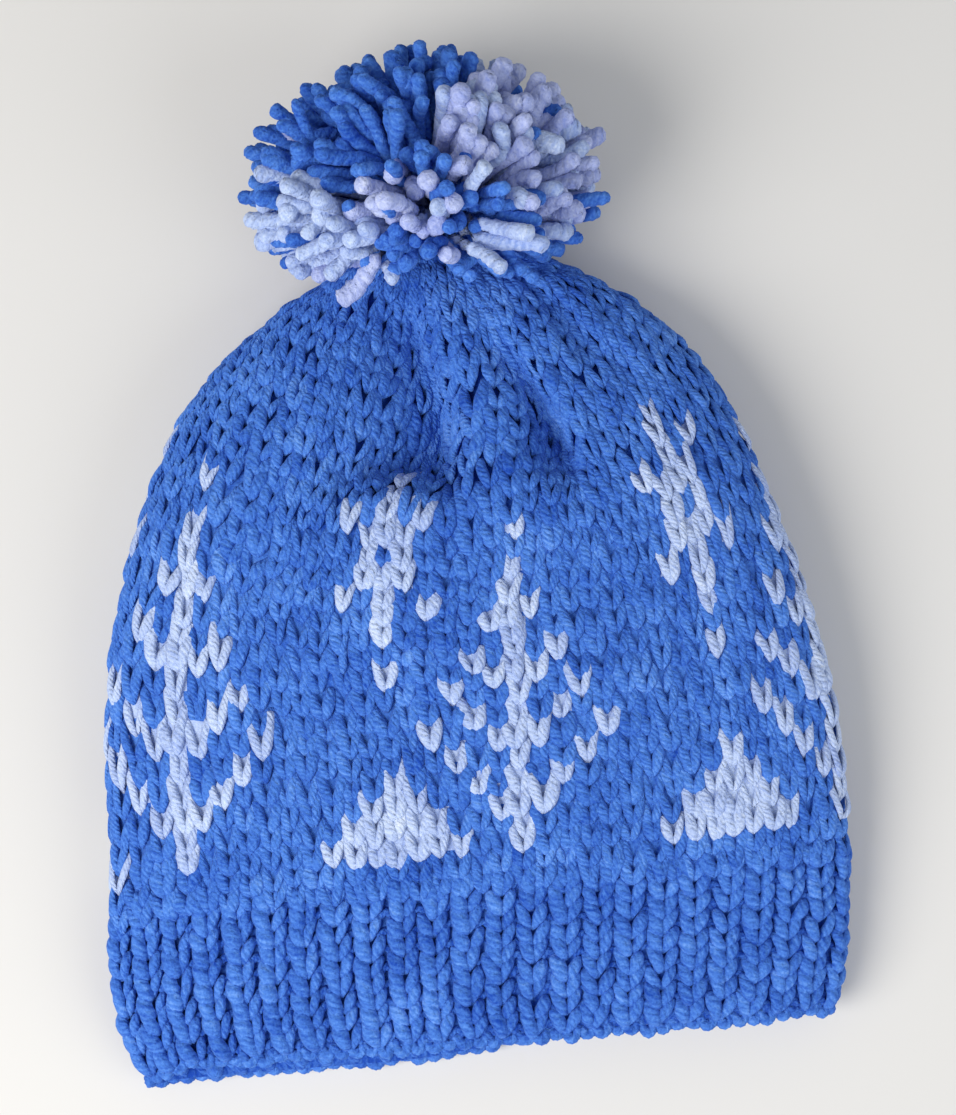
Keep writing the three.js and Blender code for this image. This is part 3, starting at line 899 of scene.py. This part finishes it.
def purl_bars(mesh, rib_list, rows, rings):
    """The bars across the hollows between ribs."""
    rib, row = grid_of(rib_list, rows)
    each = rib.shape
    t = np.linspace(0, 1, rings)
    k = rib + 0.5 + lerp(BAR_FROM, BAR_TO, t) + draw(0.02, each)
    up = row + 0.5 + draw(0.1, each) + BAR_BOW * np.sin(math.pi * t)
    place, normal = rib_place(k, up * RIB_PITCH / RIB_LENGTH)
    depth = np.full(k.shape, BAR_DEPTH)
    half = BAR_HALF * uneven(len(rib), rings, 0.08)
    mesh.add_tubes(place + normal * depth[..., None], normal, half,
                   rng.normal(BAR_PAINTED_SHADE, 0.04, each), depths=depth)


LOOP_RINGS = 11
LOOP_SWING = 0.47  # half the width of a loop, in loops
LOOP_SHARE = 0.05  # how far up the brim its ends lie
LOOP_HEIGHT = -2.6
LOOP_DEEP, LOOP_DEEP_UNDER = 2.8, 1.5  # loops are flatter along the underside
LOOP_HALF = ([0, 0.5, 1], [1.35, 1.75, 1.35])
LOOP_TINT = 0.03


def cast_on_loops(mesh):
    """The loops round the edge, two to a rib."""
    loops = np.arange(RIBS * 2)[:, None]
    each = loops.shape
    t = np.linspace(0, 1, LOOP_RINGS)
    turn = math.pi * t
    swing = LOOP_SWING + draw(0.03, each)
    k = (loops + 0.5 - swing * np.cos(turn) + draw(0.06, each)) / 2
    deep = np.where(loops < 2 * FRONT_RIBS, LOOP_DEEP, LOOP_DEEP_UNDER)
    deep = deep + draw(0.4, each)
    place, normal = rib_place(k, np.full(k.shape, LOOP_SHARE))
    centre = place + normal * (LOOP_HEIGHT + draw(0.25, each))[..., None]
    centre[..., 1] -= np.sin(turn) * deep
    half = np.interp(t, *LOOP_HALF) * uneven(len(loops), LOOP_RINGS, 0.05)
    mesh.add_tubes(centre, normal, half, rng.normal(LOOP_TINT, 0.05, each), sides=STRAND_SIDES,
                   plies=STRAND_PLIES, groove=0.16)


RIB_WALL = (0.02, 1.06, 22)  # first and last share of the brim, and how many levels
RIB_WALL_OUT, RIB_WALL_OUT_SOFT, RIB_WALL_IN = -2.4, -1.7, -4.6


def brim_wall():
    """A mesh of the wall behind the ribs."""
    rib, share = np.meshgrid(np.arange(0, RIBS, 0.25), np.linspace(*RIB_WALL))
    place, normal = rib_place(rib, share)
    soft = ease(place[..., :1], SOFT_FROM, SOFT_TO)
    mesh = Mesh()
    # Painted shade: the wall behind the ribs is drawn darker, more so where the rib is flatter, and its
    # inner face darker still.
    mesh.add_wall(place + normal * lerp(RIB_WALL_OUT, RIB_WALL_OUT_SOFT, soft),
                  place + normal * RIB_WALL_IN,
                  tint=lerp(-0.15, -0.25, soft[..., 0]), inside_painted_shade=-0.3)
    return mesh


rib_mesh = Mesh()
rib_legs(rib_mesh, range(0, FRONT_RIBS), range(0, RIB_ROWS), 8)
rib_legs(rib_mesh, range(FRONT_RIBS, RIBS), range(0, RIB_ROWS), 6, lift=UNDER_LIFT)
rib_legs(rib_mesh, range(0, RIBS), range(0, INNER_ROWS), 6, inner=True)
purl_bars(rib_mesh, range(0, RIBS), range(0, RIB_ROWS), 5)
cast_on_loops(rib_mesh)
rib_wall = brim_wall()

# ---- Pompom ----
POMPOM_AT = np.array([-1.0, 229.0, 33.5])
POMPOM_HALF = np.array([45.5, 31.5, 31.5])
POMPOM_TIE = np.array([2.6, -9.0, -4.0])  # where the strands are tied, from its middle
TIE_HALF = 4.0
STRANDS = 580
AIM_SPREAD = 0.06  # how far their directions stray from an even spread
CROWN_BELOW = (-0.72, 0.35)  # below both, in y and z, a direction leads into the crown
SHORTEST, LONGEST = 0.85, 1.09  # times POMPOM_HALF
BEND_PHASES = (1.1, 2.6, 4.4)
SHARED_BEND, OWN_BEND, SAG, WAVE = 4.5, 3.2, 2.5, 1.9
SWING = 2.5 * math.pi  # how far a strand's wave runs
LONE_WAVE = 0.5  # strands of the table wave less


def fibonacci(count):
    i = np.arange(count) + 0.5
    z = 1 - 2 * i / count
    angle = math.pi * (1 + 5**0.5) * i
    flat = np.sqrt(1 - z * z)
    return np.stack([flat * np.cos(angle), flat * np.sin(angle), z], -1)


BLUE, WHITE, LILAC = 0, 1, 2
# Strands of one colour were wound together: middle of each patch as a direction, its size, and
# its colour. The last patch that holds a strand gives its colour.
PATCHES = [
    ((0.60, 0.25, 0.76), 0.60, 2), ((0.93, 0.00, 0.30), 0.55, 2), ((0.70, 0.62, 0.30), 0.35, 2),
    ((0.30, -0.24, 0.92), 0.15, 0), ((0.72, -0.66, 0.20), 0.24, 0), ((-0.71, -0.55, 0.40), 0.52, 1),
    ((-0.93, -0.35, 0.05), 0.30, 1), ((-0.60, -0.70, 0.00), 0.50, 1),
    ((-0.14, -0.30, 0.94), 0.19, 2), ((0.2, 0.8, -0.6), 0.5, 1), ((-0.3, -0.5, -0.8), 0.5, 2),
    ((0.10, 0.95, 0.30), 0.25, 0),
]
PATCH_EDGE = 0.05  # how ragged a patch's edge is
STRAY_LILAC, STRAY_BLUE = 0.012, 0.03  # shares of strands, whatever their patch
LILAC_TO_WHITE = 0.35  # share of the lilac strands


def pompom_colour(direction):
    count = len(direction)
    colour = np.full(count, BLUE)
    for middle, size, kind in PATCHES:
        middle = np.array(middle) / np.linalg.norm(middle)
        distance = np.linalg.norm(direction - middle, axis=1) + draw(PATCH_EDGE, count)
        colour[distance < size] = kind
    stray = rng.random(count)
    colour[stray < STRAY_LILAC] = LILAC
    colour[stray > 1 - STRAY_BLUE] = BLUE
    colour[(colour == LILAC) & (rng.random(count) < LILAC_TO_WHITE)] = WHITE
    return colour


def clump(direction, phase):
    """A smooth field over directions, by which neighbouring strands bend alike."""
    x, y, z = direction.T
    return (np.sin(5.1 * x + 2.3 * y + phase) + np.sin(4.2 * y - 3.7 * z + 1.7 * phase)
            + np.sin(4.6 * z + 3.1 * x + 2.9 * phase)) / 2


# Share of a strand's length: close together where it shows, and few where it is buried.
STRAND_T = np.concatenate([np.linspace(0, 0.4, 4), np.linspace(0.45, 0.95, 21), [0.975, 0.992, 1]])
STRAND_HALF = 1.95
STRAND_WIDTH = ([0, 0.45, 0.8, 0.95, 0.975, 0.992, 1], [0.5, 0.85, 1.0, 1.08, 1.0, 0.75, 0.4])
STRAND_LOW = 2.2  # no strand's middle line comes closer to the floor
STRAND_REACH = 1.1  # only the table's strands end farther out than this, times POMPOM_HALF
BEND_POWER = 1.6  # strands bend more towards their tips
YARNS = ((BLUE, 1.0), (WHITE, 1.14), (LILAC, 1.2))  # how fat their strands are


def strands(mesh, root, tip, bend, wave, tint, fat):
    """Strands from root to tip, each bent to a side and waved."""
    count, t = len(root), STRAND_T
    swing = np.sin(SWING * t + wave[:, 3:])
    path = (root[:, None] + (tip - root)[:, None] * t[:, None]
            + bend[:, None] * (t**BEND_POWER)[:, None] + wave[:, None, :3] * (swing * t)[..., None])
    path[..., 2] = np.maximum(path[..., 2], STRAND_LOW)
    half = STRAND_HALF * fat * np.interp(t, *STRAND_WIDTH)
    half = half * uneven(count, len(t), 0.05) * rng.normal(1, 0.08, (count, 1))
    normal = unit(np.cross(tip - root, bend + 1e-3))[:, None]
    mesh.add_tubes(path, normal, half, tint, sides=STRAND_SIDES, plies=STRAND_PLIES, groove=0.2,
                   blunt=0.3)


# Strands that stand out in front: root, tip, sideways bend and colour.
LONE_STRANDS = [
    ((-8, 221, 46), (-4.6, 238, 65), (-2, 0, 0), 0), ((4.5, 214, 50), (14, 220.5, 65), (1, 1, 2), 1),
    ((1, 213, 50), (28.5, 199.5, 51), (0, 2, 5), 1), ((4, 215, 50), (25, 203, 55), (1, 2, 4), 1),
    ((5, 209, 50), (17.5, 197, 54), (0, 1, 4), 1), ((2, 216, 46), (-14.5, 213, 60), (0, 3, 3), 2),
    ((1, 214, 47), (-11.5, 217.5, 63), (0, -2, 3), 2), ((1, 211, 48), (-8, 209.5, 60), (1, 1, 2), 2),
    ((1, 219, 44), (0.7, 220, 67), (0, 0, 0), 2), ((-2, 222, 44), (-10.5, 223.5, 64), (0, 1, 1), 0),
    ((0, 222, 44), (-1, 226, 66), (0, 0, 0), 0), ((1, 221, 44), (5, 224, 66), (0, 0, 0), 0),
    ((0, 210, 46), (-0.6, 203, 59), (0, 0, 0), 0), ((2, 210, 46), (4.7, 201, 56), (0, 0, 0), 2),
    ((-7, 212, 48), (-25, 193.5, 38), (0, 2, 5), 2), ((1, 222, 34), (1, 261, 47), (0, 0, 2), 0),
    ((1, 222, 34), (7.5, 257, 49), (1, 0, 2), 0), ((2, 222, 34), (13.5, 256, 47), (1, 0, 2), 0),
    ((2, 222, 34), (17, 248.5, 56), (1, 0, 1), 2), ((3, 219, 34), (47, 215.5, 39), (0, 2, 2), 0),
    ((0, 222, 26), (-37, 240, 38), (0, 2, 2), 2), ((5, 222, 44), (10, 232, 63), (2, 0, 1), 2),
    ((4, 216, 44), (9, 215, 63), (1, 0, 0), 0), ((3, 214, 44), (5, 209, 61), (0, -1, 1), 0),
    ((5, 218, 42), (17, 213, 58), (1, 0, 2), 0), ((3, 214, 46), (3, 212.5, 65), (0, 0, 0), 1),
    ((3, 215, 46), (7, 214.5, 65), (0, 0, 0), 2), ((2, 211, 46), (1, 209, 62), (0, 0, 0), 2),
    ((2, 216, 46), (3.5, 217.5, 66), (0, 0, 0), 0),
]


def wound_strands():
    """Root, tip, bend and colour of the strands that fill the pompom."""
    direction = fibonacci(STRANDS) + draw(AIM_SPREAD, (STRANDS, 3))
    direction /= np.linalg.norm(direction, axis=1, keepdims=True)
    direction = direction[(direction[:, 1:] >= CROWN_BELOW).any(axis=1)]
    count = len(direction)
    colour = pompom_colour(direction)
    reach = rng.normal(1.0, 0.06, count) + 0.04 * clump(direction, 0.3)
    reach = np.clip(reach, SHORTEST, LONGEST)[:, None]
    bend = np.stack([clump(direction, phase) for phase in BEND_PHASES], -1) * SHARED_BEND
    bend += draw(OWN_BEND, (count, 3))
    bend -= (bend * direction).sum(1, keepdims=True) * direction
    bend[:, 2] -= SAG
    tip = POMPOM_AT + direction * POMPOM_HALF * reach
    return POMPOM_AT + POMPOM_TIE + direction * TIE_HALF, tip, bend, colour


def pompom():
    """A mesh of strands for each of the YARNS."""
    lone = (np.array(part, float) for part in zip(*LONE_STRANDS))
    root, tip, bend, colour = (np.concatenate(pair) for pair in zip(wound_strands(), lone))
    count, first_lone = len(root), len(root) - len(LONE_STRANDS)
    wave = np.hstack([draw(WAVE, (count, 3)), rng.uniform(0, 6.3, (count, 1))])
    wave[first_lone:, :3] *= LONE_WAVE
    end = tip + bend + wave[:, :3] * np.sin(SWING + wave[:, 3:]) - POMPOM_AT
    over = np.linalg.norm(end / POMPOM_HALF, axis=1) / STRAND_REACH
    over[first_lone:] = 1
    tip -= end * (1 - 1 / np.maximum(over, 1))[:, None]
    tint = draw(0.06, (count, 1))
    meshes = [Mesh() for _ in YARNS]
    for mesh, (kind, fat) in zip(meshes, YARNS):
        own = colour == kind
        strands(mesh, root[own], tip[own], bend[own], wave[own], tint[own], fat)
    return meshes


blue_strands, white_strands, lilac_strands = pompom()

# ---- The pieces ----
yarns = [blue_yarn, white_yarn]
pieces = [
    (rib_mesh, "brim_rib_stitches", ["rib_brim"], "blue_yarn", [blue_yarn]),
    (rib_wall, "brim_inner_wall", ["rib_brim"], "blue_yarn", [blue_yarn]),
    (body_front, "body_front_stitches", ["knit_body"], "blue_yarn", yarns),
    (body_back, "body_back_stitches", ["knit_body"], "blue_yarn", yarns),
    (wall, "knit_inner_wall", ["knit_body", "gathered_crown"], "blue_yarn", yarns),
    (crown_front, "crown_front_stitches", ["gathered_crown"], "blue_yarn", yarns),
    (crown_back, "crown_back_stitches", ["gathered_crown"], "blue_yarn", yarns),
    (blue_strands, "pompom_blue_strands", ["pompom"], "pompom_yarn", [blue_yarn]),
    (white_strands, "pompom_white_strands", ["pompom", "pompom_tie"], "white_yarn", [white_yarn]),
    (lilac_strands, "pompom_lilac_strands", ["pompom"], "pompom_yarn", [lilac_yarn]),
]
for mesh, name, nodes, slot, materials in pieces:
    thing = mesh.build(name, materials)
    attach(thing, "root")
    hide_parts(*nodes)

# ---- Floor, light and camera ----
bpy.ops.mesh.primitive_plane_add(size=6, location=(0, 0, 0))
floor = bpy.context.object
floor.name = "floor"
n = Nodes("pale_floor")
shader = n.add("ShaderNodeBsdfPrincipled", {"Base Color": srgb(226, 224, 220), "Roughness": 0.8})
n.add("ShaderNodeOutputMaterial", {0: shader.outputs[0]})
floor.data.materials.append(n.material)

world = bpy.data.worlds.new("studio")
bpy.context.scene.world = world
world.use_nodes = True
background = world.node_tree.nodes["Background"].inputs
background["Color"].default_value = (0.92, 0.95, 1.0, 1)
background["Strength"].default_value = 0.37


def area_light(name, place, target, size, power, colour):
    data = bpy.data.lights.new(name, "AREA")
    data.shape, data.size, data.energy, data.color = "DISK", size, power, colour
    light = bpy.data.objects.new(name, data)
    light.location = place
    light.rotation_euler = (Vector(target) - Vector(place)).to_track_quat("-Z", "Y").to_euler()
    bpy.context.scene.collection.objects.link(light)


area_light("key", (-0.72, -0.36, 0.76), (0, 0, 0), 0.8, 11.3, (1.0, 0.98, 0.95))
area_light("fill", (0.8, -0.65, 0.6), (0, 0, 0), 1.2, 6.4, (0.92, 0.95, 1.0))

AIM = (5.6, 128.0, 22.0)  # what the middle of the picture looks at
LEAN = math.radians(4.474)  # the hat leans to the left in the picture
ELEVATION = math.radians(86.0)
DISTANCE = 0.52
VIEW_HEIGHT = 0.2973  # what the picture's height takes in at that distance

aim = Vector(to_row(np.array(AIM)))
up = Vector((math.sin(LEAN), math.cos(LEAN), 0))
back = -up * math.cos(ELEVATION) + Vector((0, 0, 1)) * math.sin(ELEVATION)
right = up.cross(Vector((0, 0, 1))).normalized()
camera_data = bpy.data.cameras.new("camera")
camera = bpy.data.objects.new("camera", camera_data)
bpy.context.scene.collection.objects.link(camera)
top = back.cross(right)
basis = Matrix((right, top, back)).transposed()
camera.matrix_world = Matrix.Translation(aim + back * DISTANCE) @ basis.to_4x4()
camera_data.lens = camera_data.sensor_width / 2 / (VIEW_HEIGHT / 2 / DISTANCE)
bpy.context.scene.camera = camera
bpy.context.scene.view_settings.view_transform = "Standard"
